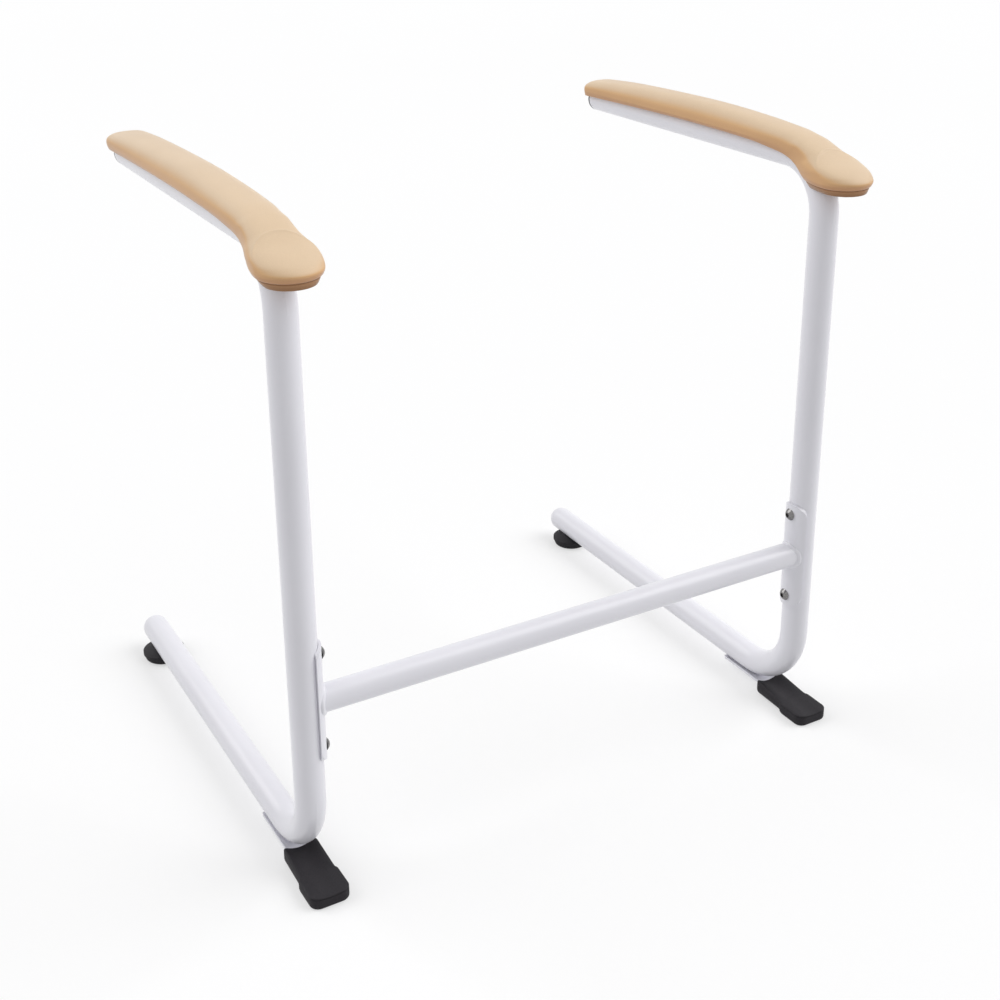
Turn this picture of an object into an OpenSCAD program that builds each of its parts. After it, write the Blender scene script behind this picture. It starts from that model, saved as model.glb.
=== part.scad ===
// Couch standing aid: two bent tube side frames joined by one bolted crossbar,
// with foam arm pads on the handles, rubber toe boots in front and round rubber feet behind.
// X runs from side to side, Y from the front (toe boots) to the back, Z is up from the floor.

/* [Side frames] */
// Outer diameter of the side frame tube
tube_od = 31.8; // [28:0.1:36]
// Wall thickness of the side frame tube
tube_wall = 1.6; // [1.2:0.1:2.5]
// Distance between the two upright axes
frame_spacing = 628; // [480:1:800]
// Height of the handle tube axis above the floor
handle_h = 678; // [560:1:800]
// Height of the floor leg axis above the floor
leg_h = 28.5; // [27.5:0.5:32]
// Length of the floor leg from the upright axis to the centre of its domed end
leg_len = 526; // [420:1:650]
// Length of the handle tube from the upright axis to its open end
handle_len = 442; // [380:1:520]
// Radius of the upper bend, to the tube axis
handle_bend_r = 60; // [54:1:80]
// Radius of the lower bend, to the tube axis
leg_bend_r = 76; // [64:1:90]

/* [Crossbar] */
// Outer diameter of the crossbar
bar_od = 28.6; // [22:0.1:30]
// Wall thickness of the crossbar
bar_wall = 1.6; // [1.2:0.1:2.5]
// Height of the crossbar axis above the floor
bar_h = 212; // [190:1:400]
// Height of the curved saddle plate at each end of the crossbar
saddle_h = 131; // [120:1:180]
// Thickness of the saddle plate
saddle_t = 3; // [2:0.1:4]
// Angle that the saddle plate wraps to each side of its middle
saddle_wrap = 65; // [55:1:75]
// Corner radius of the saddle plate
saddle_corner = 14; // [6:0.5:16]
// Radius of the weld bead between crossbar and saddle plate
weld_r = 3; // [2:0.1:4]

/* [Saddle bolts] */
// Distance between the two bolts of one saddle plate
bolt_pitch = 105; // [80:1:110]
// Thread diameter of the saddle bolts
bolt_d = 8; // [6:0.5:9]
// Diameter of the domed bolt head
bolt_head_d = 14; // [12:0.1:15]
// Height of the domed bolt head
bolt_head_h = 4.4; // [3:0.1:5]
// Width of the hexagon socket across its flats
bolt_socket = 5; // [3:0.1:6]
// Length of the bolt below its head
bolt_len = 18; // [15:0.5:22]
// Outer diameter of the threaded insert in the tube wall
nut_d = 11; // [10:0.1:12]
// Length of the threaded insert
nut_len = 14; // [11:0.5:17]

/* [Front feet] */
// Thickness of the pressed foot plate
plate_t = 3; // [2:0.1:4]
// Width of the foot plate
plate_w = 30; // [26:0.5:31]
// Inner radius of the trough pressed into the foot plate
plate_r = 28; // [22:0.5:34]
// Reach of the foot plate behind the upright axis
plate_back = 113; // [90:1:140]
// Distance behind the upright axis at which the trough ends and the flat tongue starts
plate_trough = 27; // [24:0.5:34]
// Reach of the tongue in front of the upright axis
plate_front = 8; // [4:0.5:14]
// Width of the tongue inside the boot
tongue_w = 24; // [18:0.5:28]
// Corner radius of the foot plate
plate_corner = 7; // [5:0.5:9]
// Reach of the rubber boot in front of the upright axis
boot_front = 45.5; // [38:0.5:52]
// Reach of the rubber boot behind the upright axis
boot_back = 40.5; // [37:0.5:44]
// Distance of the step between toe and heel in front of the upright axis
boot_step = 7; // [2:0.5:12]
// Width of the front half of the boot
boot_toe_w = 46; // [43:0.5:52]
// Width of the back half of the boot
boot_heel_w = 39.5; // [38:0.5:42.5]
// Height of the flat toe of the boot
boot_toe_h = 14; // [13.5:0.5:15]
// Height of the raised heel of the boot
boot_heel_h = 21; // [19:0.5:23]
// Corner radius of the toe seen from above
boot_corner = 12; // [6:0.5:16]
// Radius of the rounded top edge of the toe
boot_edge = 2; // [1:0.5:3]
// Radius of the rounded edge of the sole
boot_sole_r = 7; // [3:0.5:8]
// Corner radius of the heel seen from above
boot_heel_corner = 4; // [2:0.5:5]
// Thickness of the rubber over the foot plate
boot_skin = 2; // [1.5:0.1:3]

/* [Rear feet] */
// Distance of the round rear foot in front of the centre of the domed tube end
foot_set = 27; // [20:1:60]
// Diameter of the rear foot at its rim
foot_d = 52; // [50:0.5:58]
// Diameter of the rear foot on the floor
foot_sole_d = 48; // [42:0.5:49.5]
// Height of the rim above the floor
foot_rim_h = 11; // [9:0.5:11.5]
// Thread diameter of the rear foot screw
foot_screw_d = 6; // [4:0.5:8]
// Head diameter of the rear foot screw
foot_screw_head = 11; // [9:0.5:13]
// Depth of the screw recess in the sole of the rear foot
foot_recess = 5; // [4:0.5:6]

/* [Handle pads] */
// Reach of the pad past the open end of the handle tube
pad_over = 7; // [5:0.5:15]
// Foam over the tube at the crown of the arm
pad_crown = 17.5; // [14:0.5:24]
// Foam over the tube at the back end of the arm
pad_rear = 8; // [7:0.5:16]
// Foam over the tube where the tube starts to bend
pad_dip = 11.5; // [10:0.5:18]
// Foam beside the tube along the arm
pad_side = 8.5; // [6:0.1:11]
// Foam beside the tube at the neck
pad_neck = 7.5; // [5.5:0.1:9]
// Height of the pad's lower edge above the tube axis, in the middle of the arm
pad_skirt = 8.5; // [3:0.5:10]
// Diameter of the round paddle at the front of the pad
paddle_d = 64; // [56:0.5:70]
// Reach of the paddle in front of the upright axis
paddle_front = 56.5; // [50:0.5:62]
// Distance of the paddle's rim below the axis of the handle tube
rim_drop = 13; // [11:0.5:18]
// Height from the crease under the paddle's rim to the widest line of the rim
rim_h = 7; // [6:0.5:10]
// Height of the drawn-in lower tier of the paddle
tier_h = 7.5; // [6:0.5:9]
// Step in from the rim to the lower tier at the crease
tier_step = 2.5; // [1.5:0.1:3.5]
// Draw-in of the lower tier from the crease to its underside
tier_draw = 3.5; // [1:0.1:5]
// Depth of the round hollow in the paddle
dish_depth = 1.8; // [1:0.1:3]
// Diameter of the round hollow in the paddle
dish_d = 48; // [36:0.5:54]
// Radius of the rounded back end of the pad
pad_end_r = 10; // [6:0.5:12]

/* [Pad fixing] */
// Thickness of the stiffening strip inside the pad
core_t = 3; // [2:0.1:4]
// Width of the stiffening strip
core_w = 20; // [14:0.5:24]
// Foam between the tube and the stiffening strip
core_lift = 2.5; // [2:0.1:4]
// Distance of the strip's ends from the bend and from the open end of the tube
core_inset = 30; // [24:1:60]
// Distance of the pad screws from the ends of the strip
screw_inset = 35; // [15:1:60]
// Thread diameter of the pad screws
screw_d = 5; // [4:0.5:6]
// Head diameter of the pad screws
screw_head = 10; // [8:0.5:12]
// Head height of the pad screws
screw_head_h = 3; // [2:0.1:4]
// Thickness of the cap on the plug at the open end of the handle tube
plug_cap = 4; // [2:0.5:6]
// Depth of the plug inside the handle tube
plug_depth = 18; // [10:1:30]

/* [Fits] */
// Gap between parts that lie against each other on a curved face
seat_gap = 0.3; // [0.2:0.05:0.4]
// Added to a fastener's diameter for the hole that it passes through
hole_clear = 0.6; // [0.3:0.1:1]
// Added to a thread's diameter for the threaded hole that it sits in
thread_clear = 0.2; // [0.1:0.05:0.3]

/* [Hidden] */
$fn = 64;

// Colours as seen on the object
white_coat = "#f1f0f5";
bright_steel = "#c9c9cc";
zinc_steel = "#a9adb2";
black_rubber = "#2b282c";
black_plastic = "#202022";
tan_foam = "#e3bf92";

// Tube and crossbar radii
tube_r = tube_od / 2;
tube_bore_r = tube_r - tube_wall;
bar_r = bar_od / 2;
half_spacing = frame_spacing / 2;
upper_bend_z = handle_h - handle_bend_r;
lower_bend_z = leg_h + leg_bend_r;

// Hexagon socket of the small screws, as a share of the thread diameter
socket_share = 0.6;

// Saddle plate: inner and outer radius about the upright axis
saddle_ri = tube_r + seat_gap;
saddle_ro = saddle_ri + saddle_t;

// Foot plate and boot heights above the floor
plate_top = leg_h - tube_r - seat_gap;
plate_axis_z = plate_top + plate_r;
boot_dish_r = plate_r - boot_skin;

// Rear foot
foot_y = leg_len - foot_set;
foot_top = leg_h - tube_r + foot_rim_h / 3;
foot_screw_len = leg_h - foot_recess - tube_bore_r + tube_r / 3;
foot_nut_d = foot_screw_d + 2 * tube_wall;
foot_nut_len = nut_len * 0.7;
foot_head_h = foot_recess / 2;

// Pad screws and stiffening strip along the handle tube
core_front = handle_bend_r + core_inset;
core_back = handle_len - core_inset;
core_z = tube_r + core_lift;
screw_ys = [core_front + screw_inset, core_back - screw_inset];
screw_seat = sqrt(pow(tube_bore_r, 2) - pow(screw_head / 2, 2)) - seat_gap;
groove_r = tube_r + seat_gap;

// Sections of the pad, from the back end of the arm to the underside of the paddle.
// In a section u is sideways and v is outward from the tube axis.
// A station is the distance behind the bend in mm, or minus the angle around the bend in degrees.
// Sections lie square to the tube up to fan_start, then tip over until they lie level at the rim.
arm_len = handle_len + pad_over - handle_bend_r;
paddle_r = paddle_d / 2;
rim_z = handle_h - rim_drop;
crease_z = rim_z - rim_h;
fan_start = 15;
function bend_angle(z) = acos((z - upper_bend_z) / handle_bend_r);
function bend_y(a) = handle_bend_r * (1 - sin(a));
rim_angle = bend_angle(rim_z);
neck_top = tube_r + pad_dip;
rim_top = bend_y(rim_angle) + paddle_front;
arm_w = tube_r + pad_side;
neck_w = tube_r + pad_neck;
arm_mid = tube_r * 0.85;
lip = 3;
edge_v = 2;
// Row of the table for a section square to the tube
function arm_row(x, top, w, low) = [x, top, w, arm_mid, 2.6, low, w - lip];
// Row of the table for a tipped section, t of the way from the neck to the rim,
// with reach and share as the way that its top and its width have gone, and shoulder in paddle radii
function fan_row(t, reach, share, shoulder, p) =
    let (top = neck_top + (rim_top - neck_top) * reach, w = neck_w + (paddle_r - neck_w) * share)
    [-fan_start - (rim_angle - fan_start) * t, top, w, top - shoulder * paddle_r, p, edge_v, neck_w - lip];
// Row of the table for a level section at the height z, drawn in at the sides and at the front
function level_row(z, side_in, front_in) =
    let (a = bend_angle(z), r = paddle_r - side_in, top = bend_y(a) + paddle_front - front_in)
    [-a, top, r, top - r, 2, edge_v, neck_w - lip * (0.5 + side_in / tier_step / 2)];
// Columns: station, top, half width, height of the widest point, roundness,
// lower edge, half width at the lower edge
pad_rows = [
    arm_row(arm_len, tube_r + pad_rear, arm_w, pad_skirt * 0.5),
    arm_row(arm_len * 0.8, tube_r + pad_crown * 0.78, arm_w, pad_skirt * 0.75),
    arm_row(arm_len * 0.5, tube_r + pad_crown * 0.98, arm_w, pad_skirt),
    arm_row(arm_len * 0.3, tube_r + pad_crown, arm_w, pad_skirt),
    arm_row(arm_len * 0.1, tube_r + (pad_crown + pad_dip) / 2, arm_w, pad_skirt * 0.8),
    arm_row(0, neck_top, (arm_w + neck_w) / 2, pad_skirt * 0.35),
    arm_row(-fan_start, neck_top, neck_w, edge_v),
    fan_row(0.25, 0.04, 0.1, 0.32, 2.6),
    fan_row(0.375, 0.08, 0.3, 0.33, 2.5),
    fan_row(0.5, 0.14, 0.54, 0.36, 2.5),
    fan_row(0.625, 0.23, 0.78, 0.4, 2.4),
    fan_row(0.75, 0.39, 0.94, 0.46, 2.3),
    fan_row(0.875, 0.65, 1, 0.6, 2.2),
    level_row(rim_z, 0, 0),
    level_row(crease_z + rim_h * 0.4, tier_step * 0.3, tier_step * 0.3),
    level_row(crease_z, tier_step * 0.8, tier_step * 0.8),
    level_row(crease_z - tier_h * 0.1, tier_step * 1.8, tier_step * 1.4),
    level_row(crease_z - tier_h, tier_step * 1.8 + tier_draw, tier_step * 1.4 + tier_draw * 0.4)];
end_steps = [0, 0.3, 0.7, 1];
arm_steps = 11;
fan_steps = 10;
level_rows = 5;
pad_stations = concat(
    [for (t = end_steps) arm_len - pad_end_r * t * t],
    [for (i = [1 : arm_steps]) (arm_len - pad_end_r) * (1 - i / arm_steps)],
    [-fan_start / 2],
    [for (i = [0 : fan_steps - 1]) -fan_start - (rim_angle - fan_start) * i / fan_steps],
    [for (i = [level_rows : -1 : 1]) pad_rows[len(pad_rows) - i][0]]);
// Points over the outside of a section: two up each flank, the rest over the crown
section_n = 15;
crown_step = 180 / (section_n - 5);

// Smooth curve through the rows of a table, for the column c at the station x
function row_below(x, i = 0) = i >= len(pad_rows) - 2 || x >= pad_rows[i + 1][0] ? i : row_below(x, i + 1);
function row_slope(i, c) =
    let (a = pad_rows[max(i - 1, 0)], b = pad_rows[min(i + 1, len(pad_rows) - 1)])
    (b[c] - a[c]) / (b[0] - a[0]);
function hermite(p, q, m, n, t) =
    p * (1 + 2 * t) * pow(1 - t, 2) + m * t * pow(1 - t, 2) + q * t * t * (3 - 2 * t) - n * t * t * (1 - t);
function pad_at(c, x) =
    let (i = row_below(x), a = pad_rows[i], b = pad_rows[i + 1], d = b[0] - a[0], t = (x - a[0]) / d)
    hermite(a[c], b[c], row_slope(i, c) * d, row_slope(i + 1, c) * d, t);

// Inset of the rounded back end of the pad at a station
function end_inset(x) =
    let (d = min(max(arm_len - x, 0), pad_end_r)) pad_end_r - sqrt(pow(pad_end_r, 2) - pow(pad_end_r - d, 2));

// Tip of a section away from upright
function tilt(a) =
    a < fan_start ? a : min(90, fan_start + (90 - fan_start) * (a - fan_start) / (rim_angle - fan_start));

// Point of a section in the side frame's own space
function pad_point(u, v, x) = x >= 0
    ? [u, handle_bend_r + x, handle_h + v]
    : [u, bend_y(-x) - v * sin(tilt(-x)), upper_bend_z + handle_bend_r * cos(x) + v * cos(tilt(-x))];

// Depth of the round hollow in the paddle at a point of its top
dish_y = dish_d / 2 - paddle_front + paddle_r * 0.15;
dish_slope = 24;
function dish(u, v, x) =
    let (y = pad_point(u, v, x)[1], d = norm([u, (y - dish_y) / cos(dish_slope)]) / (dish_d / 2))
    x < 0 && d < 1 ? dish_depth * pow(1 - pow(d, 4), 2) : 0;

function rounded(a, p) = sign(a) * pow(abs(a), 2 / p);
function outer_point(i, x) =
    let (inset = end_inset(x), w = pad_at(2, x) - inset, mid = pad_at(3, x), low = pad_at(5, x),
        top = pad_at(1, x) - inset, lw = pad_at(6, x) - inset / 2, side = i < section_n / 2 ? -1 : 1,
        j = min(i, section_n - 1 - i), a = 180 - crown_step * (i - 2), p = pad_at(4, x))
    j == 0 ? [side * lw, low]
    : j == 1 ? [side * (lw + (w - lw) * 0.7), low + (mid - low) * 0.5]
    : let (u = w * rounded(cos(a), p), v = mid + (top - mid) * rounded(sin(a), p))
        [u, v - dish(u, v, x) * sin(a)];

// Point of the groove that the tube lies in, b degrees round the tube
function groove_v(b, x) = x >= -fan_start
    ? groove_r * cos(b)
    : let (c = handle_bend_r * cos(tilt(-x) + x), s = handle_bend_r * sin(tilt(-x) + x))
        sqrt(pow(handle_bend_r + groove_r * cos(b), 2) - s * s) - c;
function inner_point(i, x) =
    let (edge = acos(pad_at(5, x) / groove_r), b = edge * (2 * i / (section_n - 1) - 1))
    [groove_r * sin(b), groove_v(b, x)];
function pad_ring(x) = concat(
    [for (i = [0 : section_n - 1]) let (p = outer_point(i, x)) pad_point(p[0], p[1], x)],
    [for (i = [section_n - 1 : -1 : 0]) let (p = inner_point(i, x)) pad_point(p[0], p[1], x)]);
pad_rings = [for (x = pad_stations) pad_ring(x)];

// The whole part is centred between the tip of the paddle and the back of the domed leg end
pad_front_y = min([for (r = pad_rings) for (p = r) p[1]]);
upright_y = -(leg_len + tube_r + pad_front_y) / 2;

// Triangles between neighbouring rings of n points
function wall_faces(rings, n) =
    [for (r = [0 : rings - 2]) for (i = [0 : n - 1])
        let (a = r * n + i, b = r * n + (i + 1) % n)
        each [[a, b, b + n], [a, b + n, a + n]]];
// Triangles of an end face, between the outer and the inner half of its ring
function cap_faces(first, n, last) =
    [for (i = [0 : n - 2])
        let (a = first + i, b = first + i + 1, c = first + 2 * n - 2 - i, d = first + 2 * n - 1 - i)
        each last ? [[a, c, d], [a, b, c]] : [[a, d, c], [a, c, b]]];

// Places a part of the left side frame, with its upright axis at the origin
module left() {
    translate([-half_spacing, upright_y, 0])
        children();
}
// Places the mirrored part on the right
module right() {
    mirror([1, 0, 0])
        left()
            children();
}
module both() {
    left()
        children();
    right()
        children();
}

module rounded_rect(w, h, r) {
    square([w - 2 * r, h], center = true);
    square([w, h - 2 * r], center = true);
    for (x = [-1, 1], y = [-1, 1])
        translate([x * (w / 2 - r), y * (h / 2 - r)])
            circle(r);
}

// Bar along Y from y0 to y1
module along_y(r, y0, y1) {
    translate([0, y0, 0])
        rotate([-90, 0, 0])
            cylinder(r = r, h = y1 - y0);
}

// Quarter bend in the YZ plane, from the front of its circle up to the top
module bend(r, axis_r) {
    rotate([90, 0, -90])
        rotate_extrude(angle = 90)
            translate([axis_r, 0])
                circle(r);
}

// Side frame tube filled to the radius r, with its handle cut off at handle_end
module tube_path(r, handle_end) {
    translate([0, 0, handle_h])
        along_y(r, handle_bend_r, handle_end);
    translate([0, handle_bend_r, upper_bend_z])
        bend(r, handle_bend_r);
    translate([0, 0, lower_bend_z])
        cylinder(r = r, h = upper_bend_z - lower_bend_z);
    translate([0, leg_bend_r, lower_bend_z])
        mirror([0, 0, 1])
            bend(r, leg_bend_r);
    translate([0, 0, leg_h])
        along_y(r, leg_bend_r, leg_len);
    translate([0, leg_len, leg_h])
        sphere(r);
}

// Bolt places on the left upright: local Z points from the upright axis to the crossbar
module saddle_bolt_spots() {
    for (side = [-1, 1])
        translate([0, 0, bar_h + side * bolt_pitch / 2])
            rotate([0, 90, 0])
                children();
}

// Pad screw places on the left handle tube: local Z points up from the tube axis
module pad_screw_spots() {
    for (y = screw_ys)
        translate([0, y, handle_h])
            children();
}

// One bent tube, closed by a dome at the back of the floor leg and drilled for its fixings
module side_tube() {
    color(white_coat)
        difference() {
            tube_path(tube_r, handle_len);
            tube_path(tube_bore_r, handle_len + plug_cap);
            saddle_bolt_spots()
                cylinder(d = nut_d + thread_clear, h = tube_od);
            pad_screw_spots() {
                cylinder(d = screw_d + hole_clear, h = tube_od);
                mirror([0, 0, 1])
                    cylinder(d = screw_head + 2 * hole_clear, h = tube_od);
            }
            translate([0, foot_y, 0])
                cylinder(d = foot_nut_d + thread_clear, h = leg_h);
        }
}

// Straight crossbar, with both ends cut to the curve of the saddle plates
module crossbar_tube() {
    color(white_coat)
        difference() {
            bar(bar_r);
            bar(bar_r - bar_wall);
            both()
                cylinder(r = saddle_ro + seat_gap, h = handle_h);
        }
}

module bar(r) {
    translate([0, upright_y, bar_h])
        rotate([0, 90, 0])
            cylinder(r = r, h = frame_spacing, center = true);
}

// Curved plate that wraps the inner side of the upright, with rounded corners and two bolt holes
module saddle_plate() {
    color(white_coat)
        difference() {
            intersection() {
                cylinder(r = saddle_ro, h = handle_h);
                translate([saddle_ro * cos(saddle_wrap), 0, bar_h])
                    rotate([90, 0, 90])
                        linear_extrude(tube_od)
                            rounded_rect(2 * saddle_ro * sin(saddle_wrap), saddle_h, saddle_corner);
            }
            cylinder(r = saddle_ri, h = handle_h);
            saddle_bolt_spots()
                cylinder(d = bolt_d + hole_clear, h = tube_od);
        }
}

// Weld bead that follows the curve where the crossbar meets the saddle plate, built up in passes
module weld_bead() {
    difference() {
        for (a = [15 : 30 : 75])
            intersection() {
                bar_end(bar_r + weld_r * cos(a));
                cylinder(r = saddle_ro + weld_r * sin(a), h = handle_h);
            }
        bar_end(bar_r + seat_gap);
        cylinder(r = saddle_ro + seat_gap, h = handle_h);
    }
}

// Left half of the crossbar, filled to the radius r
module bar_end(r) {
    translate([0, 0, bar_h])
        rotate([0, 90, 0])
            cylinder(r = r, h = half_spacing);
}

module crossbar_welds() {
    color(white_coat)
        both()
            weld_bead();
}

// Domed socket-head bolt: local Z = 0 under the head, shank downward
module domed_bolt(d, len, head_d, head_h, socket) {
    dome_r = (pow(head_d / 2, 2) + head_h * head_h) / (2 * head_h);
    difference() {
        intersection() {
            cylinder(d = head_d, h = head_h);
            translate([0, 0, head_h - dome_r])
                sphere(dome_r);
        }
        translate([0, 0, head_h / 3])
            cylinder(d = socket / cos(30), h = head_h, $fn = 6);
    }
    translate([0, 0, -len])
        cylinder(d = d, h = len);
}

module saddle_bolts() {
    color(bright_steel)
        both()
            saddle_bolt_spots()
                translate([0, 0, saddle_ro])
                    domed_bolt(bolt_d, bolt_len, bolt_head_d, bolt_head_h, bolt_socket);
}

// Threaded insert set flush in a tube wall at tube_r, swelled out behind the wall.
// Local Z points outward from the tube axis.
module wall_insert(d, thread_d, len) {
    swell_r = d / 2 + tube_wall;
    swell_top = sqrt(pow(tube_bore_r, 2) - pow(swell_r, 2)) - seat_gap;
    difference() {
        union() {
            intersection() {
                translate([0, 0, tube_r - len])
                    cylinder(d = d, h = len);
                rotate([0, 90, 0])
                    cylinder(r = tube_r, h = 2 * d, center = true);
            }
            translate([0, 0, swell_top - tube_wall])
                cylinder(r = swell_r, h = tube_wall);
        }
        cylinder(d = thread_d + thread_clear, h = tube_od);
    }
}

module saddle_nuts() {
    color(zinc_steel)
        both()
            saddle_bolt_spots()
                wall_insert(nut_d, bolt_d, nut_len);
}

// Foot plate grown all round by g: a pressed trough under the tube and a flat tongue in front of it
module plate_solid(g) {
    overlap = plate_trough + plate_corner;
    intersection() {
        translate([0, (plate_back + plate_trough) / 2, 0])
            linear_extrude(plate_axis_z)
                rounded_rect(plate_w + 2 * g, plate_back - plate_trough + 2 * g, plate_corner);
        difference() {
            translate([0, 0, plate_axis_z])
                along_y(plate_r + plate_t + g, 0, plate_back + plate_t);
            translate([0, 0, plate_axis_z])
                along_y(plate_r - g, -plate_t, plate_back + 2 * plate_t);
        }
    }
    translate([0, (overlap - plate_front) / 2, plate_top - plate_t - g])
        linear_extrude(plate_t + 2 * g)
            rounded_rect(tongue_w + 2 * g, overlap + plate_front + 2 * g, plate_corner);
}

module foot_plate() {
    color(white_coat)
        plate_solid(0);
}

// Outline of the toe seen from above: two round corners in front
module toe_outline() {
    len = boot_front - boot_step;
    translate([-boot_toe_w / 2, -boot_front + boot_corner])
        square([boot_toe_w, len - boot_corner]);
    translate([-boot_toe_w / 2 + boot_corner, -boot_front])
        square([boot_toe_w - 2 * boot_corner, len]);
    for (side = [-1, 1])
        translate([side * (boot_toe_w / 2 - boot_corner), -boot_front + boot_corner])
            circle(boot_corner);
}

// Bar along Y, w wide, with its upper edges rounded at the height z by boot_edge
// and its lower edges rounded on the floor by boot_sole_r
module soled_bar(w, z) {
    rotate([90, 0, 0])
        linear_extrude(3 * boot_front, center = true)
            intersection() {
                rounded_rect(w, 2 * z, boot_edge);
                translate([0, z])
                    rounded_rect(w, 2 * z, boot_sole_r);
            }
}

// Flat toe of the boot, with rounded edges at the front, the sides and the corners
module boot_toe() {
    corner_reach = (boot_toe_w / 2 + boot_front - 2 * boot_corner) * sin(45) + boot_corner + seat_gap;
    intersection() {
        linear_extrude(boot_toe_h)
            toe_outline();
        soled_bar(boot_toe_w, boot_toe_h);
        rotate([0, 0, 90])
            soled_bar(2 * boot_front, boot_toe_h);
        rotate([0, 0, 45])
            soled_bar(2 * corner_reach, boot_toe_h);
        rotate([0, 0, -45])
            soled_bar(2 * corner_reach, boot_toe_h);
    }
}

// Heel of the boot, with its top ramped up from the toe and rounded lower edges
module boot_heel() {
    start = -boot_step - boot_corner / 2;
    intersection() {
        translate([0, (start + boot_back) / 2, 0])
            linear_extrude(boot_heel_h)
                rounded_rect(boot_heel_w, boot_back - start, boot_heel_corner);
        rotate([90, 0, 90])
            linear_extrude(boot_heel_w, center = true)
                polygon([[start, 0], [start, boot_toe_h - boot_edge], [-boot_step, boot_toe_h],
                    [boot_back, boot_heel_h], [boot_back, 0]]);
        soled_bar(boot_heel_w, boot_heel_h + boot_edge);
    }
}

// Rubber boot pushed over the front of the foot plate
module front_boot() {
    color(black_rubber)
        difference() {
            union() {
                boot_toe();
                boot_heel();
            }
            plate_solid(seat_gap);
            translate([0, 0, plate_axis_z])
                along_y(boot_dish_r, -boot_front, boot_back + boot_skin);
        }
}

// Round rubber foot: grooved rim, cone top with a saddle for the tube, screw recess in the sole
module rear_foot() {
    sole_r = foot_sole_d / 2;
    rim_r = foot_d / 2;
    top_r = tube_r * 0.85;
    edge = foot_rim_h * 0.3;
    color(black_rubber)
        translate([0, foot_y, 0])
            difference() {
                rotate_extrude() {
                    polygon([[0, 0], [sole_r - edge, 0], [sole_r - edge, edge], [sole_r, edge],
                        [sole_r, foot_rim_h * 0.55], [rim_r, foot_rim_h * 0.65], [rim_r, foot_rim_h],
                        [top_r, foot_top], [0, foot_top]]);
                    translate([sole_r - edge, edge])
                        intersection() {
                            circle(edge);
                            translate([0, -edge])
                                square(edge);
                        }
                }
                translate([0, 0, leg_h])
                    along_y(tube_r + seat_gap, -foot_d, foot_d);
                translate([0, 0, -foot_recess])
                    cylinder(d = foot_screw_head + 2 * hole_clear, h = 2 * foot_recess);
                cylinder(d = foot_screw_d + hole_clear, h = leg_h);
            }
}

module rear_foot_screws() {
    color(zinc_steel)
        both()
            translate([0, foot_y, foot_recess])
                rotate([180, 0, 0])
                    domed_bolt(foot_screw_d, foot_screw_len, foot_screw_head,
                        foot_head_h, foot_screw_d * socket_share);
}

module rear_foot_nuts() {
    color(zinc_steel)
        both()
            translate([0, foot_y, leg_h])
                rotate([180, 0, 90])
                    wall_insert(foot_nut_d, foot_screw_d, foot_nut_len);
}

// Plastic plug in the open end of the handle tube, with a round-edged cap
module handle_plug() {
    edge = plug_cap * 0.6;
    plug_r = tube_bore_r - seat_gap;
    plug_wall = plug_cap / 2;
    color(black_plastic)
        translate([0, handle_len, handle_h])
            rotate([-90, 0, 0]) {
                cylinder(r = tube_r, h = plug_cap - edge);
                rotate_extrude()
                    intersection() {
                        union() {
                            square([tube_r - edge, plug_cap]);
                            translate([tube_r - edge, plug_cap - edge])
                                circle(edge);
                        }
                        translate([0, plug_cap - edge])
                            square([tube_r, edge]);
                    }
                translate([0, 0, -plug_depth])
                    difference() {
                        cylinder(r = plug_r, h = plug_depth);
                        translate([0, 0, -plug_cap])
                            cylinder(r = plug_r - plug_wall, h = plug_depth);
                    }
            }
}

// Foam pad: long arm on the handle tube that narrows to a neck and ends in a hollowed paddle
module handle_pad() {
    n = 2 * section_n;
    rings = len(pad_rings);
    color(tan_foam)
        difference() {
            polyhedron([for (r = pad_rings) each r],
                concat(wall_faces(rings, n), cap_faces(0, section_n, false),
                    cap_faces((rings - 1) * n, section_n, true)));
            core_solid();
            pad_screw_spots()
                cylinder(d = screw_d + hole_clear, h = core_z + core_t / 2);
        }
}

// Flat steel strip moulded into the pad, which the pad screws bite into
module core_solid() {
    translate([0, (core_front + core_back) / 2, handle_h + core_z])
        linear_extrude(core_t)
            rounded_rect(core_w, core_back - core_front, core_w / 4);
}

module pad_core() {
    color(zinc_steel)
        difference() {
            core_solid();
            pad_screw_spots()
                cylinder(d = screw_d + thread_clear, h = 2 * tube_od);
        }
}

// Screws up through the top wall of the handle tube into the strip.
// Their heads sit inside the tube, reached through holes in its lower wall.
module pad_screws() {
    color(zinc_steel)
        both()
            pad_screw_spots()
                translate([0, 0, screw_seat])
                    rotate([180, 0, 0])
                        domed_bolt(screw_d, core_z + core_t - screw_seat, screw_head,
                            screw_head_h, screw_d * socket_share);
}

module left_side_tube() { left() side_tube(); }
module right_side_tube() { right() side_tube(); }
module left_saddle_plate() { left() saddle_plate(); }
module right_saddle_plate() { right() saddle_plate(); }
module left_foot_plate() { left() foot_plate(); }
module right_foot_plate() { right() foot_plate(); }
module left_front_boot() { left() front_boot(); }
module right_front_boot() { right() front_boot(); }
module left_rear_foot() { left() rear_foot(); }
module right_rear_foot() { right() rear_foot(); }
module left_handle_plug() { left() handle_plug(); }
module right_handle_plug() { right() handle_plug(); }
module left_handle_pad() { left() handle_pad(); }
module right_handle_pad() { right() handle_pad(); }
module left_pad_core() { left() pad_core(); }
module right_pad_core() { right() pad_core(); }

left_side_tube();
right_side_tube();
crossbar_tube();
left_saddle_plate();
right_saddle_plate();
crossbar_welds();
saddle_bolts();
saddle_nuts();
left_foot_plate();
right_foot_plate();
left_front_boot();
right_front_boot();
left_rear_foot();
right_rear_foot();
rear_foot_screws();
rear_foot_nuts();
left_handle_plug();
right_handle_plug();
left_handle_pad();
right_handle_pad();
left_pad_core();
right_pad_core();
pad_screws();
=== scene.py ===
import math

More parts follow.
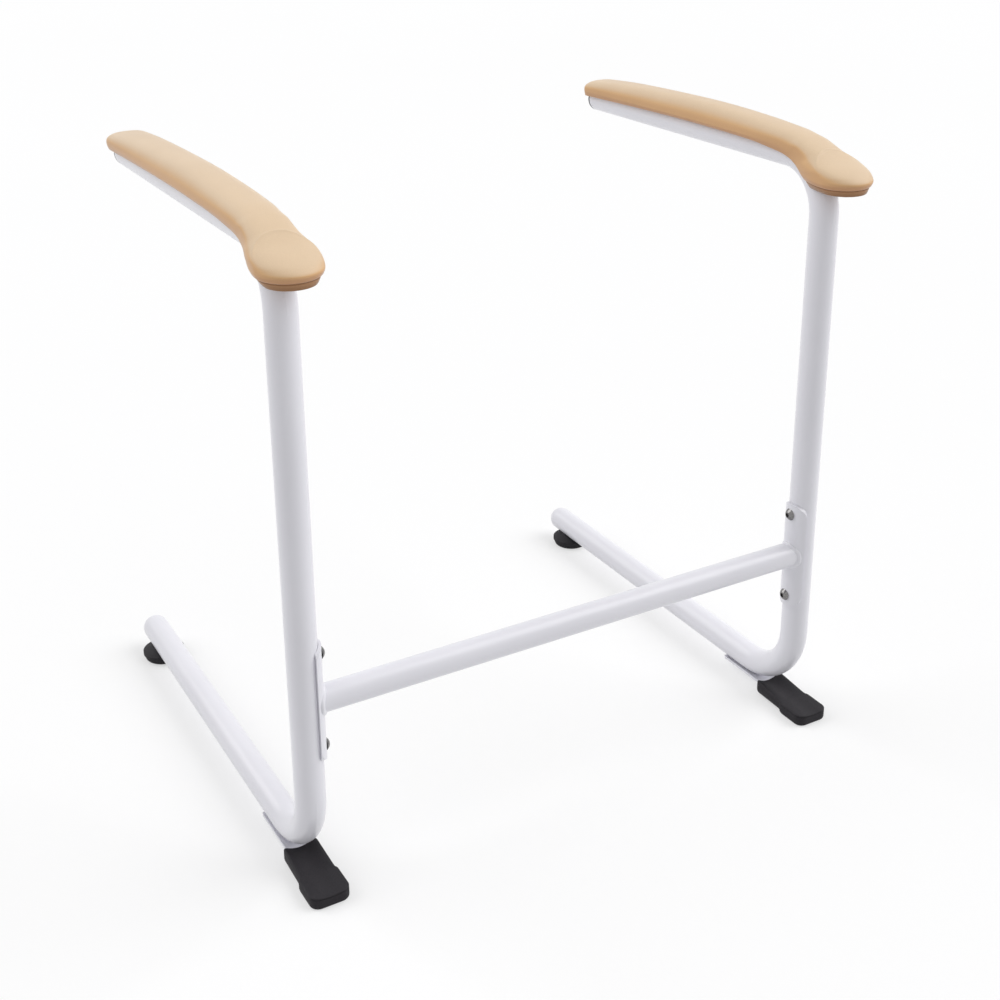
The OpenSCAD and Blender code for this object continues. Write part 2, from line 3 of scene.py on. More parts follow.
import bmesh
import bpy
from mathutils import Matrix, Vector


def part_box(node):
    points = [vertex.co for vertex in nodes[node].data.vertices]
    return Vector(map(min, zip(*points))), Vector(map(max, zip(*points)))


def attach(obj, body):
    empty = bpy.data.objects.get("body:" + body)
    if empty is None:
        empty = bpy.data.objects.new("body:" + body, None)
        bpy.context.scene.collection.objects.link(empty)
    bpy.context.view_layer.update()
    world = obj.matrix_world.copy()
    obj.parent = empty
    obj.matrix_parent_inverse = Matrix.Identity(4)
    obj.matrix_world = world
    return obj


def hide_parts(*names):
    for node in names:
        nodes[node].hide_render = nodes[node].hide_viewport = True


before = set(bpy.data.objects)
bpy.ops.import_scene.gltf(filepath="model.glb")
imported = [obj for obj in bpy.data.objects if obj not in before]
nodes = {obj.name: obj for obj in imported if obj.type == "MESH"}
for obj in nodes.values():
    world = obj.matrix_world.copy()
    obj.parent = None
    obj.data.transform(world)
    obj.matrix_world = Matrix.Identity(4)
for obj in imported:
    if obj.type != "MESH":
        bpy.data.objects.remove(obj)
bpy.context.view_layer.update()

# Side tubes: one long steel tube per side, bent into the handle, the upright and the floor leg.
# They are powder coated in gloss white after bending, which leaves a faint orange-peel ripple.
# Saddle plates, foot plates and the crossbar get the same coat.


def new_finish(name, roughness, specular=0.5, metallic=0.0):
    """A material with its shader's constant values set, and the nodes that its pattern hangs on."""
    material = bpy.data.materials.new(name)
    material.use_nodes = True
    tree = material.node_tree
    shader = tree.nodes["Principled BSDF"]
    shader.inputs["Roughness"].default_value = roughness
    shader.inputs["Specular IOR Level"].default_value = specular
    shader.inputs["Metallic"].default_value = metallic
    place = tree.nodes.new("ShaderNodeTexCoord")
    return material, tree, shader, place.outputs["Object"]


def noise(tree, place, scale, detail=2.0):
    """Cloudy pattern with about scale lumps to the metre."""
    texture = tree.nodes.new("ShaderNodeTexNoise")
    texture.inputs["Scale"].default_value = scale
    texture.inputs["Detail"].default_value = detail
    tree.links.new(place, texture.inputs["Vector"])
    return texture.outputs["Fac"]


def ramp(tree, factor, low, high, start=0.35, stop=0.65):
    """Colours from low to high as factor goes from start to stop."""
    band = tree.nodes.new("ShaderNodeValToRGB")
    band.color_ramp.elements[0].position = start
    band.color_ramp.elements[1].position = stop
    band.color_ramp.elements[0].color = (*low, 1)
    band.color_ramp.elements[1].color = (*high, 1)
    tree.links.new(factor, band.inputs["Fac"])
    return band.outputs["Color"]


def spread(tree, factor, low, high, start=0.3, stop=0.7):
    """Numbers from low to high as factor goes from start to stop."""
    scaled = tree.nodes.new("ShaderNodeMapRange")
    scaled.inputs["From Min"].default_value = start
    scaled.inputs["From Max"].default_value = stop
    scaled.inputs["To Min"].default_value = low
    scaled.inputs["To Max"].default_value = high
    tree.links.new(factor, scaled.inputs["Value"])
    return scaled.outputs["Result"]


def cloudy_colour(tree, shader, pattern, low, high):
    """Colour that drifts from low to high over a pattern."""
    tree.links.new(ramp(tree, pattern, low, high), shader.inputs["Base Color"])


def cloudy_gloss(tree, shader, pattern, low, high):
    """Roughness that drifts from low to high over a pattern."""
    tree.links.new(spread(tree, pattern, low, high), shader.inputs["Roughness"])


def emboss(tree, shader, height, strength, depth):
    """Bumps the shader's surface by a height pattern, depth metres deep."""
    bump = tree.nodes.new("ShaderNodeBump")
    bump.inputs["Strength"].default_value = strength
    bump.inputs["Distance"].default_value = depth
    tree.links.new(height, bump.inputs["Height"])
    tree.links.new(bump.outputs["Normal"], shader.inputs["Normal"])
    return bump


def dress(finish, *names):
    """Gives CAD nodes one finish."""
    for name in names:
        nodes[name].data.materials.clear()
        nodes[name].data.materials.append(finish)


white_coat, tree, shader, place = new_finish("white_powder_coat", 0.3)
cloudy_colour(tree, shader, noise(tree, place, 9), (0.81, 0.805, 0.86), (0.83, 0.825, 0.88))
cloudy_gloss(tree, shader, noise(tree, place, 60), 0.30, 0.36)
emboss(tree, shader, noise(tree, place, 300, 1.0), 0.03, 0.0002)
shader.inputs["Coat Weight"].default_value = 0.25
shader.inputs["Coat Roughness"].default_value = 0.12
dress(white_coat, "left_side_tube", "right_side_tube")

# Crossbar and saddle plates: a straight steel tube with a curved plate welded to each end.
# Each plate wraps the inner side of an upright and is bolted to it.
dress(white_coat, "crossbar_tube", "left_saddle_plate", "right_saddle_plate")

# Weld beads: a smooth steel fillet round each end of the crossbar, under the coat.
# The bead follows the hollow that the round saddle plate cuts into the end of the tube.
half_spacing = 0.314
tube_radius = 0.0159
upright_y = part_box("left_side_tube")[0].y + tube_radius
bar_height = 0.212
bar_radius = 0.0143
saddle_radius = 0.0192
bead_radius = 0.0026
bead_sides, bead_steps = 16, 96
merge_gap = 1e-6
beads = bmesh.new()
for side in (-1, 1):
    ring = bmesh.ops.create_circle(beads, segments=bead_sides, radius=bead_radius)["verts"]
    bmesh.ops.rotate(beads, verts=ring, cent=(0, 0, 0), matrix=Matrix.Rotation(math.pi / 2, 3, "X"))
    bmesh.ops.translate(beads, verts=ring, vec=(0, 0, bar_radius))
    edges = list(dict.fromkeys(edge for vert in ring for edge in vert.link_edges))
    bmesh.ops.spin(
        beads, geom=ring + edges, cent=(0, 0, 0), axis=(1, 0, 0), dvec=(0, 0, 0),
        angle=2 * math.pi, steps=bead_steps, use_merge=True,
    )
    bead = [vert for vert in beads.verts if not vert.tag]
    for vert in bead:
        vert.tag = True
        hollow = math.sqrt(saddle_radius**2 - min(abs(vert.co.y), bar_radius) ** 2)
        vert.co = Vector((
            side * (half_spacing - hollow + vert.co.x), upright_y + vert.co.y, bar_height + vert.co.z
        ))
bmesh.ops.remove_doubles(beads, verts=beads.verts, dist=merge_gap)
bmesh.ops.recalc_face_normals(beads, faces=beads.faces)


def finished_piece(name, mesh_in_work, finish):
    """Puts a worked mesh into the scene as a smooth piece with one finish."""
    mesh = bpy.data.meshes.new(name)
    mesh_in_work.to_mesh(mesh)
    mesh_in_work.free()
    for face in mesh.polygons:
        face.use_smooth = True
    mesh.materials.append(finish)
    piece = bpy.data.objects.new(name, mesh)
    bpy.context.scene.collection.objects.link(piece)
    return piece


weld_beads = finished_piece("weld_beads", beads, white_coat)
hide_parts("crossbar_welds")
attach(weld_beads, "root")

# Saddle bolts: domed heads with a hexagon socket, turned from steel and chromed.
# Two go through each saddle plate into threaded inserts in the upright's wall.
chrome, tree, shader, place = new_finish("bolt_chrome", 0.1, metallic=1.0)
# Painted reflection: the chrome's base colour is kept deep grey, standing in for unlit surroundings seen in it
cloudy_colour(tree, shader, noise(tree, place, 700), (0.17, 0.165, 0.165), (0.24, 0.235, 0.235))
cloudy_gloss(tree, shader, noise(tree, place, 1500), 0.08, 0.16)
dress(chrome, "saddle_bolts")

# Inserts, screws and stiffening strips: zinc-plated steel, out of sight in the tubes and the pads.
# The plating has a faint cloudy spangle and is dull rather than bright.
zinc, tree, shader, place = new_finish("zinc_plate", 0.4, metallic=1.0)
cloudy_colour(tree, shader, noise(tree, place, 350, 4.0), (0.52, 0.54, 0.56), (0.66, 0.67, 0.67))
cloudy_gloss(tree, shader, noise(tree, place, 900), 0.3, 0.5)
dress(zinc, "saddle_nuts", "rear_foot_screws", "rear_foot_nuts", "left_pad_core", "right_pad_core", "pad_screws")

# Foot plates: pressed steel troughs under the front of the floor legs.
# They are coated with the frame, and each ends in a tongue inside its boot.
dress(white_coat, "left_foot_plate", "right_foot_plate")

# Rear feet and front boots: moulded black rubber with a fine spark-eroded grain.
# The round feet are screwed on from below, and the boots are pushed over the foot plates.
# A boot has a flat, slightly wider toe and a ramp to the heel, with the seat of the floor leg let into it.
rubber, tree, shader, place = new_finish("black_rubber", 0.65, specular=0.25)
cloudy_colour(tree, shader, noise(tree, place, 900, 3.0), (0.014, 0.0125, 0.0155), (0.021, 0.0185, 0.0225))
cloudy_gloss(tree, shader, noise(tree, place, 2200), 0.5, 0.75)
grain = emboss(tree, shader, noise(tree, place, 1300, 3.0), 0.35, 0.0003)
soft_edge = tree.nodes.new("ShaderNodeBevel")
soft_edge.samples = 4
soft_edge.inputs["Radius"].default_value = 0.0008
tree.links.new(soft_edge.outputs["Normal"], grain.inputs["Normal"])
dress(rubber, "left_rear_foot", "right_rear_foot")

MM = 0.001
boot_front, boot_back, boot_half_w = 45.5, 40.5, 20.2
toe_corner, heel_corner = 10.0, 4.0
toe_h, heel_h, toe_end = 14.0, 20.0, -7.0
toe_flare, heel_taper = 1.4, 1.4
flare_len, change_len = 3.0, 12.0
seat_r, seat_axis_z, seat_blend = 26.0, 40.4, 4.0
toe_sole_r, heel_sole_r = 3.0, 8.0
toe_edge_r, heel_edge_r = 1.0, 2.5
front_n, toe_n, side_n, heel_n, back_n = 6, 12, 40, 6, 8


def step(t):
    """0 up to t = 0, 1 from t = 1 on, and a smooth rise between."""
    t = min(max(t, 0.0), 1.0)
    return t * t * (3 - 2 * t)


def round_off(r, degrees):
    """How far a rounded edge is drawn in, and its drop from a face, so many degrees round from that face."""
    a = math.radians(degrees)
    return r - r * math.sin(a), r - r * math.cos(a)


def boot_outline(inset):
    """The boot seen from above and drawn in: along the toe, up the right side, along the heel and back."""
    half_w, front, back = boot_half_w - inset, inset - boot_front, boot_back - inset
    toe_r, heel_r = max(toe_corner - inset, 0.0), max(heel_corner - inset, 0.0)
    side_len = back - heel_r - front - toe_r
    right = [((half_w - toe_r) * i / front_n, front) for i in range(front_n)]
    for i in range(toe_n + 1):
        drawn_in, drop = round_off(toe_r, 90 * i / toe_n)
        right.append((half_w - drawn_in, front + drop))
    right += [(half_w, front + toe_r + side_len * i / side_n) for i in range(1, side_n)]
    for i in range(heel_n + 1):
        drawn_in, drop = round_off(heel_r, 90 * i / heel_n)
        right.append((half_w - drop, back - drawn_in))
    right += [((half_w - heel_r) * (1 - i / back_n), back) for i in range(1, back_n + 1)]
    return right + [(-x, y) for x, y in right[-2:0:-1]]


def boot_top(x, y):
    """Height of the boot's upper side: flat toe, ramp to the heel, and the leg's seat melting into them."""
    ramp_h = toe_h + (heel_h - toe_h) * max(y - toe_end, 0.0) / (boot_back - toe_end)
    seat = seat_axis_z - math.sqrt(seat_r**2 - x * x)
    melt = max(seat_blend - abs(ramp_h - seat), 0.0) / seat_blend
    return min(ramp_h, seat) - melt * melt * seat_blend / 4


def boot_ring(toe, heel, below_top=False):
    """One loop of the boot: how far it is drawn in and its level, at toe and heel, from the floor or the top."""
    ring = []
    for start, toe_point, heel_point in zip(boot_outline(0.0), boot_outline(toe[0]), boot_outline(heel[0])):
        share = step((start[1] - toe_end) / change_len + 0.5)
        x, y = (a + (b - a) * share for a, b in zip(toe_point, heel_point))
        flare = toe_flare * step((toe_end + 1 - start[1]) / flare_len)
        taper = heel_taper * max(start[1] - toe_end, 0.0) / (boot_back - toe_end)
        x *= 1 + (flare - taper) / boot_half_w
        level = toe[1] + (heel[1] - toe[1]) * share
        ring.append(Vector((x, y, boot_top(x, y) - level if below_top else level)))
    return ring


def bridged(work, rings):
    """Draws closed loops of points and bridges each to the next; gives back the edges of every loop."""
    loops = []
    for ring in rings:
        verts = [work.verts.new(point) for point in ring]
        loops.append([work.edges.new((verts[i - 1], verts[i])) for i in range(len(verts))])
    for loop, following in zip(loops, loops[1:]):
        bmesh.ops.bridge_loops(work, edges=loop + following)
    return loops


# Sole edge, fuller at the heel
boot_rings = [
    boot_ring(round_off(toe_sole_r, a), round_off(heel_sole_r, a)) for a in (0, 15, 30, 45, 60, 75, 90)
]
# The mould's parting groove, as depth and drop below the top: at the heel it is fainter and lower
boot_rings += [
    boot_ring((depth, drop), (depth / 4, drop + heel_edge_r - toe_edge_r), True)
    for depth, drop in ((0, 2.6), (1.2, 1.9), (0, 1.2))
]
# Upper edge, and the top as far as its middle line
boot_rings += [
    boot_ring(round_off(toe_edge_r, a), round_off(heel_edge_r, a), True) for a in (90, 65, 45, 25, 0)
]
boot_rings += [
    boot_ring((inset, 0), (inset, 0), True) for inset in (4, 6, 8.5, 11, 13.5, 16, 18, boot_half_w)
]
for side, name in ((-1, "left_front_boot"), (1, "right_front_boot")):
    work = bmesh.new()
    bmesh.ops.edgeloop_fill(work, edges=bridged(work, boot_rings)[0])
    bmesh.ops.remove_doubles(work, verts=work.verts, dist=merge_gap / MM)
    bmesh.ops.scale(work, verts=work.verts, vec=(MM, MM, MM))
    bmesh.ops.translate(work, verts=work.verts, vec=(side * half_spacing, upright_y, 0))
    bmesh.ops.recalc_face_normals(work, faces=work.faces)
    boot = finished_piece(name.replace("front_boot", "rubber_boot"), work, rubber)
    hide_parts(name)
    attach(boot, "root")

# Handle plugs: moulded black plastic caps with a fine grain.
# They are pressed into the open ends of the handle tubes.
plastic, tree, shader, place = new_finish("black_plastic", 0.5, specular=0.35)
cloudy_colour(tree, shader, noise(tree, place, 300), (0.008, 0.008, 0.009), (0.013, 0.013, 0.014))
emboss(tree, shader, noise(tree, place, 2500), 0.2, 0.0001)
dress(plastic, "left_handle_plug", "right_handle_plug")

# Handle pads: self-skinned polyurethane foam, cast round a steel strip and screwed on from below.
# Each is a long crowned arm that narrows to a neck, then a paddle with a shallow thumb hollow,
# a rounded rim, a crease under it and a drawn-in lower tier round the front of the tube.
foam, tree, shader, place = new_finish("tan_foam", 0.55)


def blend(tree, kind, factor, below, above):
    """Colour mix of a kind, with each value a constant or an output of another node."""
    mix = tree.nodes.new("ShaderNodeMix")
    mix.data_type = "RGBA"
    mix.blend_type = kind
    for value, socket in ((factor, "Factor"), (below, "A"), (above, "B")):
        if isinstance(value, (float, tuple)):
            mix.inputs[socket].default_value = value
        else:
            tree.links.new(value, mix.inputs[socket])
    return mix.outputs["Result"]


# Painted light and shade: the skin is painted pale where it faces up and browner where it turns to the sides and
# under, along the lower edges and in the crease, and it is also darker down the tier
shade_and_tier_input = tree.nodes.new("ShaderNodeAttribute")
shade_and_tier_input.attribute_name = "shade_and_tier_darkness"
shade_and_tier_colour = tree.nodes.new("ShaderNodeValToRGB")
shade_and_tier_colour.color_ramp.elements.new(0.4)
shade_and_tier_colour.color_ramp.elements.new(0.65)
# Tones from the lit top, through the painted shade of the sides and undersides, to the deepest in the crease and
# on the tier
shade_and_tier_tones = (
    (0.80, 0.61, 0.415, 1), (0.755, 0.465, 0.225, 1), (0.56, 0.30, 0.15, 1), (0.29, 0.14, 0.055, 1)
)
for element, tone in zip(shade_and_tier_colour.color_ramp.elements, shade_and_tier_tones):
    element.color = tone
tree.links.new(shade_and_tier_input.outputs["Fac"], shade_and_tier_colour.inputs["Fac"])
cloud = ramp(tree, noise(tree, place, 25, 3.0), (0.975, 0.97, 0.965), (1, 1, 1))
specks = ramp(tree, noise(tree, place, 1500), (0.94, 0.93, 0.92), (1, 1, 1), 0.3, 0.6)
tinted = blend(tree, "MULTIPLY", 1.0, shade_and_tier_colour.outputs["Color"], cloud)
tree.links.new(blend(tree, "MULTIPLY", 1.0, tinted, specks), shader.inputs["Base Color"])
cloudy_gloss(tree, shader, noise(tree, place, 900), 0.5, 0.62)
emboss(tree, shader, noise(tree, place, 1600), 0.25, 0.00025)
shader.inputs["Sheen Weight"].default_value = 0.5
shader.inputs["Sheen Roughness"].default_value = 0.3

tube_r = tube_radius / MM
groove_r = tube_r + 0.3
bend_r = 60.0
handle_h = 678.0
bend_z = handle_h - bend_r
arm_len = 389.0
arm_w = tube_r + 8.5
neck_w = tube_r + 7.5
neck_top = tube_r + 11.5
arm_mid = tube_r * 0.85
arm_roundness = 2.6
lip = 3.0
lip_at_rim, lip_reach = 0.5, 5.0
edge_v = 2.0
end_r = 10.0
paddle_r = 32.0
paddle_front = 56.5
paddle_roundness = 2.0
fan_start = 15.0
rim_z = handle_h - 13.0
rim_h = 2.5
crease_z = rim_z - 7.0
tier_h = 7.5


def bend_angle(z):
    """Degrees round the tube's bend at a height."""
    return math.degrees(math.acos((z - bend_z) / bend_r))


def bend_y(angle):
    """How far behind the upright's axis the bend's centre line is."""
    return bend_r * (1 - math.sin(math.radians(angle)))


rim_angle = bend_angle(rim_z)
rim_top = bend_y(rim_angle) + paddle_front


def arm_row(x, top, w, low):
    """Section of the arm, x along the tube."""
    return [x, top, w, arm_mid, arm_roundness, low, w - lip]


def fan_row(t, reach, share, shoulder, roundness):
    """Section of the neck, a share t of the way round the bend to the paddle's rim."""
    angle = fan_start + (rim_angle - fan_start) * t
    top = neck_top + (rim_top - neck_top) * reach
    w = neck_w + (paddle_r - neck_w) * share
    low_w = neck_w - lip * (1 - (1 - lip_at_rim) * t)
    return [-angle, top, w, top - shoulder * paddle_r, roundness, edge_v, low_w]


def level_row(z, side_in, front_in):
    """Level section of the paddle, drawn in at the sides and at the front."""
    angle, r = bend_angle(z), paddle_r - side_in
    top = bend_y(angle) + paddle_front - front_in
    low_w = neck_w - lip * (lip_at_rim + side_in / lip_reach)
    return [-angle, top, r, top - r, paddle_roundness, edge_v, low_w]


# Sections: station, top, half width, height of the widest point, roundness, lower edge, half width there
pad_rows = [
    arm_row(arm_len, tube_r + 8, arm_w, 4.25),
    arm_row(arm_len * 0.8, tube_r + 13.65, arm_w, 6.375),
    arm_row(arm_len * 0.5, tube_r + 17.15, arm_w, 8.5),
    arm_row(arm_len * 0.3, tube_r + 17.5, arm_w, 8.5),
    arm_row(arm_len * 0.1, tube_r + 14.5, arm_w, 6.8),
    arm_row(0, neck_top, (arm_w + neck_w) / 2, 2.975),
    arm_row(-fan_start, neck_top, neck_w, edge_v),
    fan_row(0.25, 0.04, 0, 0.32, 2.6),
    fan_row(0.375, 0.08, 0.02, 0.33, 2.5),
    fan_row(0.5, 0.14, 0.08, 0.36, 2.5),
    fan_row(0.625, 0.23, 0.24, 0.4, 2.4),
    fan_row(0.75, 0.39, 0.58, 0.46, 2.3),
    fan_row(0.875, 0.675, 0.94, 0.62, 2.2),
    fan_row(0.94, 0.875, 0.99, 0.82, 2.1),
    fan_row(0.98, 0.965, 1, 0.94, 2),
    level_row(rim_z, 0, 0),
    level_row(rim_z - rim_h, 0.2, 0.2),
]
# Rings below the rim: height, how far they are drawn in at the sides and at the front, and how much darker they
# are painted: painted shade in the crease, and darker down the tier
under_rim = [
    (rim_z - rim_h, 0.2, 0.2, 0),
    (crease_z + 3.4, 0.8, 0.8, 0),
    (crease_z + 1.4, 1.6, 1.6, 0.2),
    (crease_z + 0.4, 2.6, 2.6, 0.6),
    (crease_z - 0.3, 5.2, 4.4, 1),
    (crease_z - 1.0, 4.6, 3.6, 0.9),
    (crease_z - 1.8, 4.7, 3.7, 0.85),
    (crease_z - 4.5, 6.2, 4.4, 0.95),
    (crease_z - tier_h + 1, 7.8, 4.9, 1),
    (crease_z - tier_h, 8.6, 5.6, 1),
]


def pad_row_at(x):
    """The section at a station, on a smooth curve through the rows above."""
    i = 0
    while i < len(pad_rows) - 2 and x < pad_rows[i + 1][0]:
        i += 1
    first, second = pad_rows[i], pad_rows[i + 1]
    before, after = pad_rows[max(i - 1, 0)], pad_rows[min(i + 2, len(pad_rows) - 1)]
    span = second[0] - first[0]
    t = (x - first[0]) / span
    row = []
    for p, q, previous, following in zip(first, second, before, after):
        rise_p = (q - previous) / (second[0] - before[0]) * span
        rise_q = (following - p) / (after[0] - first[0]) * span
        row.append(
            p * (1 + 2 * t) * (1 - t) ** 2 + rise_p * t * (1 - t) ** 2
            + q * t * t * (3 - 2 * t) - rise_q * t * t * (1 - t)
        )
    return row


def tipped(angle):
    """How far a section leans: square to the tube up to the neck, level at the rim and below it."""
    if angle < fan_start:
        return angle
    return min(90.0, fan_start + (90 - fan_start) * (angle - fan_start) / (rim_angle - fan_start))


def pad_point(u, v, x):
    """A section's point u sideways and v outward from the tube, with the upright's axis at the origin."""
    if x >= 0:
        return Vector((u, bend_r + x, handle_h + v))
    lean = math.radians(tipped(-x))
    return Vector((
        u, bend_y(-x) - v * math.sin(lean), bend_z + bend_r * math.cos(math.radians(x)) + v * math.cos(lean)
    ))


flank_steps = (0, 0.2, 0.4, 0.6, 0.8)
crown_n, groove_n = 30, 14
outer_n, inner_n = 2 * len(flank_steps) + crown_n + 1, groove_n + 1


def pad_ring(row):
    """The loop of one section: over the top from side to side, then back along the tube's groove."""
    x, top, w, mid, roundness, low, low_w = row
    d = min(max(arm_len - x, 0), end_r)
    inset = end_r - math.sqrt(end_r**2 - (end_r - d) ** 2)
    w, top, low_w = w - inset, top - inset, low_w - inset / 2
    flank = [
        (low_w + (w - low_w) * math.sin(math.radians(90 * t)), low + (mid - low) * t) for t in flank_steps
    ]
    crown = []
    for k in range(crown_n + 1):
        c, s = math.cos(math.pi * k / crown_n), math.sin(math.pi * k / crown_n)
        crown.append((
            w * math.copysign(abs(c) ** (2 / roundness), c), mid + (top - mid) * max(s, 0) ** (2 / roundness)
        ))
    outer = flank + crown + [(-u, v) for u, v in reversed(flank)]
    edge = math.degrees(math.acos(low / groove_r))
    inner = []
    for k in range(groove_n + 1):
        b = math.radians(edge * (2 * k / groove_n - 1))
        v = groove_r * math.cos(b)
        if x < -fan_start:
            off = math.radians(tipped(-x) + x)
            v = math.sqrt((bend_r + v) ** 2 - (bend_r * math.sin(off)) ** 2) - bend_r * math.cos(off)
        inner.append((groove_r * math.sin(b), v))
    return [pad_point(u, v, x) for u, v in outer + inner]


arm_n, fan_n = 24, 36
pad_stations = [arm_len - end_r * t * t for t in (0, 0.15, 0.3, 0.5, 0.75, 1)]
pad_stations += [(arm_len - end_r) * (1 - i / arm_n) for i in range(1, arm_n + 1)]
pad_stations += [-fan_start * t for t in (0.33, 0.67)]
pad_stations += [-fan_start - (rim_angle - fan_start) * i / fan_n for i in range(fan_n + 1)]
pad_rings = [(pad_ring(pad_row_at(x)), 0) for x in pad_stations]
pad_rings += [(pad_ring(level_row(z, side_in, front_in)), shade_and_tier_dark) for z, side_in, front_in, shade_and_tier_dark in under_rim]

hollow_r = 30.0
hollow_slope = math.cos(math.radians(24))
hollow_y = 1.0 - hollow_r * hollow_slope
hollow_depth, back_depth, back_start, back_len = 0.4, 1.8, -0.6, 1.3
ridge_h, ridge_at, ridge_w, ridge_start, ridge_len = 0.6, 1.03, 0.05, 0.05, 0.5
hollow_reach_y, hollow_low_z, hollow_up = 30, rim_z - 6, 0.3
# Painted shade: how much darker the lower edges, the sides and the undersides of the skin are painted, and from
# how far off facing up
painted_edge_shade, painted_flank_shade, painted_under_shade = 0.6, 0.5, 0.15
flat_up, under_up = 0.95, 0.6


def thumb_hollow(point):
    """Depth of the round hollow in the paddle: a low ridge at the back, and running out in front."""
    across, along = point.x / hollow_r, (point.y - hollow_y) / hollow_slope / hollow_r
    d = math.hypot(across, along)
    bowl = max(1 - d * d, 0.0) * (hollow_depth + back_depth * step((along - back_start) / back_len))
    ridge = ridge_h * math.exp(-(((d - ridge_at) / ridge_w) ** 2)) * step((along - ridge_start) / ridge_len)
    return bowl - ridge


for side, name in ((-1, "left_handle_pad"), (1, "right_handle_pad")):
    work = bmesh.new()
    shade_and_tier_layer = work.verts.layers.float.new("shade_and_tier_darkness")
    bridged(work, [ring for ring, shade_and_tier_dark in pad_rings])
    work.verts.ensure_lookup_table()
    # Painted shade along the lower edges and in the groove that sits on the tube, on top of each ring's own
    # painted darkness
    for i, vert in enumerate(work.verts):
        ring_i, point_i = divmod(i, outer_n + inner_n)
        vert[shade_and_tier_layer] = max(pad_rings[ring_i][1], 0.0 if 0 < point_i < outer_n - 1 else painted_edge_shade)
    # The two ends are horseshoes, closed by faces from the outer side to the groove
    for first in (0, (len(pad_rings) - 1) * (outer_n + inner_n)):
        loop = work.verts[first:first + outer_n + inner_n]
        outer, inner = loop[:outer_n], loop[outer_n:][::-1]
        for k in range(outer_n - 1):
            i, j = (round(n * (inner_n - 1) / (outer_n - 1)) for n in (k, k + 1))
            work.faces.new([outer[k], outer[k + 1], inner[j]] + ([inner[i]] if i != j else []))
    bmesh.ops.recalc_face_normals(work, faces=work.faces)
    pad = finished_piece(name.replace("handle_pad", "foam_pad"), work, foam)
    smoothing = pad.modifiers.new("skin", "SUBSURF")
    smoothing.levels = smoothing.render_levels = 2
    smooth_mesh = bpy.data.meshes.new_from_object(pad.evaluated_get(bpy.context.evaluated_depsgraph_get()))
    pad.modifiers.clear()
    pad.data = smooth_mesh
    moved = []
    for vert, skin in zip(smooth_mesh.vertices, smooth_mesh.attributes["shade_and_tier_darkness"].data):
        # Painted shade: the skin is painted darker where it turns away from facing up, and darker still where it
        # faces down
        faces_up = vert.normal.z
        painted_turn_shade = painted_flank_shade * step((flat_up - faces_up) / flat_up)
        painted_turn_shade += painted_under_shade * step(-faces_up / under_up)
        skin.value = max(skin.value, painted_turn_shade)
        on_top = faces_up > hollow_up and vert.co.y < hollow_reach_y and vert.co.z > hollow_low_z
        depth = thumb_hollow(vert.co) * step((faces_up - hollow_up) / hollow_up) if on_top else 0.0
        moved.append(vert.co - vert.normal * depth)
    for vert, point in zip(smooth_mesh.vertices, moved):
        vert.co = Vector((side * (half_spacing + point.x * MM), upright_y + point.y * MM, point.z * MM))
    if side < 0:
        smooth_mesh.flip_normals()
    smooth_mesh.update()
    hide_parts(name)
    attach(pad, "root")

# Stage: a plain white floor and a soft, even studio light, as for a catalogue picture.
# The floor and the backdrop are white to the camera and in reflections,
# and throw less light than that on the frame.


def seen(tree):
    """1 for rays from the camera, mirrored or passing through, 0 for the light that falls on things."""
    path = tree.nodes.new("ShaderNodeLightPath")
    flag = path.outputs["Is Camera Ray"]
    for kind in ("Is Glossy Ray", "Is Transmission Ray"):
        either = tree.nodes.new("ShaderNodeMath")
        either.operation = "MAXIMUM"
        tree.links.new(flag, either.inputs[0])
        tree.links.new(path.outputs[kind], either.inputs[1])
        flag = either.outputs["Value"]
    return flag


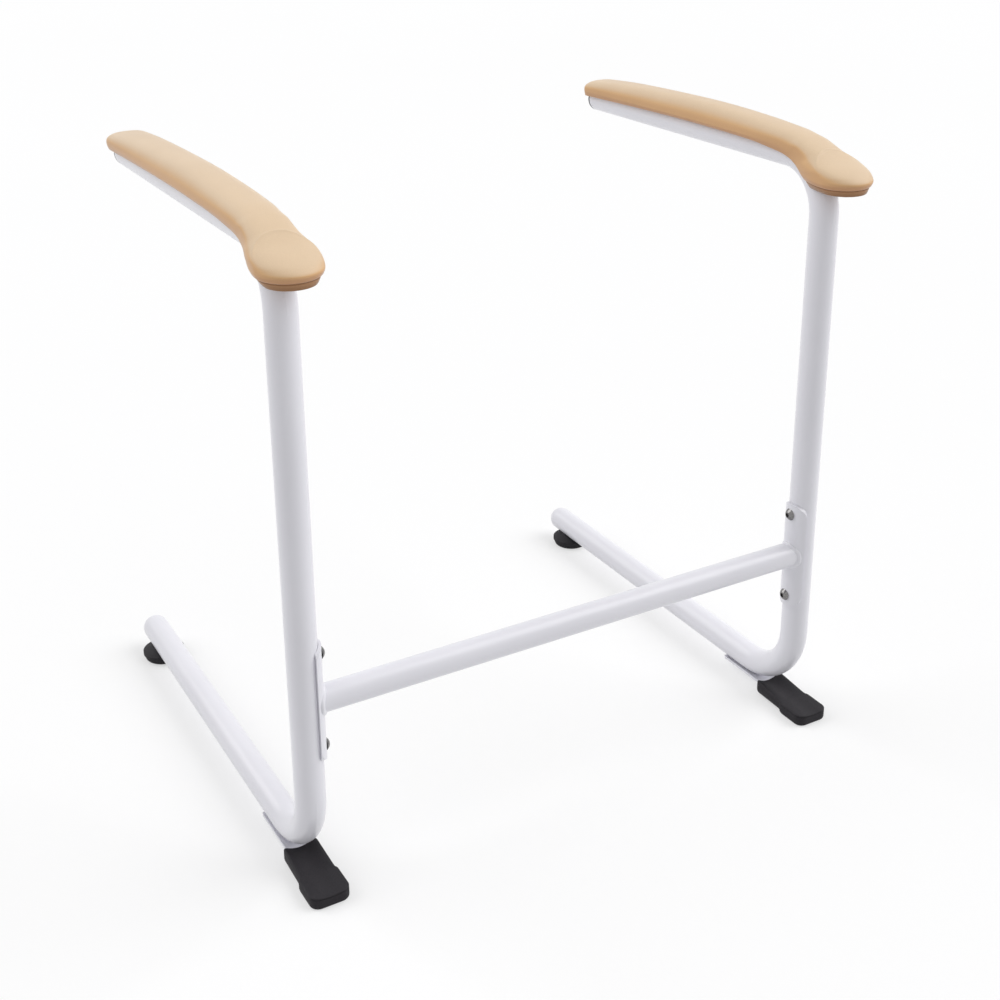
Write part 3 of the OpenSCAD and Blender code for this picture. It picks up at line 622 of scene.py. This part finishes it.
floor_half_w = 60
floor_mesh = bmesh.new()
bmesh.ops.create_grid(floor_mesh, x_segments=1, y_segments=1, size=floor_half_w)
floor_paint, tree, shader, place = new_finish("floor_white", 0.9, specular=0.0)
on_view = seen(tree)
pale = ramp(tree, noise(tree, place, 0.4), (0.487, 0.487, 0.49), (0.492, 0.492, 0.495))
tree.links.new(blend(tree, "MIX", on_view, (0.76, 0.76, 0.76, 1), pale), shader.inputs["Base Color"])
tree.links.new(spread(tree, on_view, 0.0, 0.5, 0.0, 1.0), shader.inputs["Emission Strength"])
shader.inputs["Emission Color"].default_value = (1, 1, 1, 1)
floor = finished_piece("floor", floor_mesh, floor_paint)

world = bpy.data.worlds.new("studio")
world.use_nodes = True
tree = world.node_tree
sky = tree.nodes["Background"]
sky.inputs["Color"].default_value = (1, 1, 1, 1)
tree.links.new(spread(tree, seen(tree), 0.4, 1.0, 0.0, 1.0), sky.inputs["Strength"])
bpy.context.scene.world = world


def sun(name, strength, spread_angle, aim):
    """A broad lamp that shines along aim."""
    lamp = bpy.data.lights.new(name, "SUN")
    lamp.energy = strength
    lamp.angle = math.radians(spread_angle)
    lit = bpy.data.objects.new(name, lamp)
    lit.rotation_mode = "QUATERNION"
    lit.rotation_quaternion = Vector(aim).to_track_quat("-Z", "Y")
    bpy.context.scene.collection.objects.link(lit)


sun("right_light", 1.7, 50, (-0.7, 0.25, -0.67))
sun("left_light", 1.15, 50, (0.55, -0.5, -0.67))

# Camera: at the photograph's place and angle. The photograph's uprights are nearly parallel,
# so the picture is shifted down and the camera looks down less steeply than its height suggests.
camera_place = (-0.758394, -1.414003, 1.031339)
azimuth, elevation, roll = (math.radians(a) for a in (-29.678, 20.425, -0.374))
lens = bpy.data.cameras.new("camera")
lens.sensor_width = 36
lens.lens = 53.043
lens.shift_y = -0.14
back = Vector((
    math.sin(azimuth) * math.cos(elevation), -math.cos(azimuth) * math.cos(elevation), math.sin(elevation)
))
right = Vector((math.cos(azimuth), math.sin(azimuth), 0))
up = back.cross(right)
turned_right = right * math.cos(roll) + up * math.sin(roll)
turned_up = up * math.cos(roll) - right * math.sin(roll)
turned = Matrix((turned_right, turned_up, back)).transposed().to_4x4()
camera = bpy.data.objects.new("camera", lens)
camera.matrix_world = Matrix.Translation(camera_place) @ turned
bpy.context.scene.collection.objects.link(camera)
bpy.context.scene.camera = camera
bpy.context.scene.view_settings.view_transform = "Standard"
